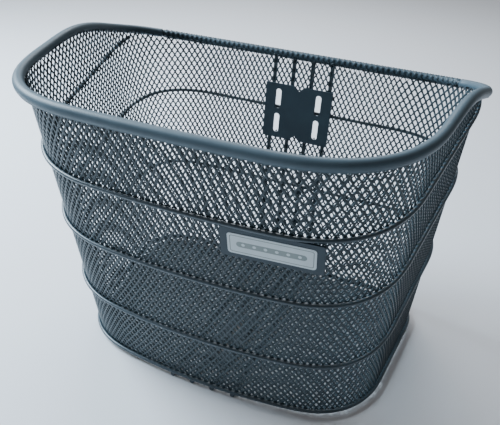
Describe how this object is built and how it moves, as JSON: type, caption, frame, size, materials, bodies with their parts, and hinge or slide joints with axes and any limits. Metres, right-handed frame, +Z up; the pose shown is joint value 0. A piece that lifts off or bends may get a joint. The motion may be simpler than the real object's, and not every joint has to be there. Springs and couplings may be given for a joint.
{
  "type": "handlebar basket",
  "caption": "Open-topped bicycle front basket of expanded metal mesh on a wire frame, with a rolled rim, ring and stay wires, and slotted plates for bolting to the bicycle.",
  "frame": {"origin": "middle of the footprint, level with the underside of the stay wires", "axes": "+Z up, +X to the right when facing the bowed front, +Y from the bowed front to the straight rear wall"},
  "size_m": [0.3669, 0.3012, 0.2942],
  "materials": {
    "rail_paint": "semi-gloss grey-blue enamel",
    "wire_paint": "semi-gloss grey-blue enamel",
    "mesh_paint": "satin grey-blue enamel",
    "plate_paint": "satin grey-blue enamel",
    "label": "pale printed film"
  },
  "bodies": {
    "root": {"rim_rail": "rail_paint", "rear_rim_rod": "rail_paint", "wall_mesh": "mesh_paint", "floor_mesh": "mesh_paint", "upper_ring_wire": "wire_paint", "middle_ring_wire": "wire_paint", "lower_ring_wire": "wire_paint", "base_ring_wire": "wire_paint", "stay_wire_1": "wire_paint", "stay_wire_2": "wire_paint", "stay_wire_3": "wire_paint", "stay_wire_4": "wire_paint", "upper_bracket_plate": "plate_paint", "floor_bracket_plate": "plate_paint", "badge_plate": "plate_paint", "badge_label": "label"}
  },
  "joints": []
}
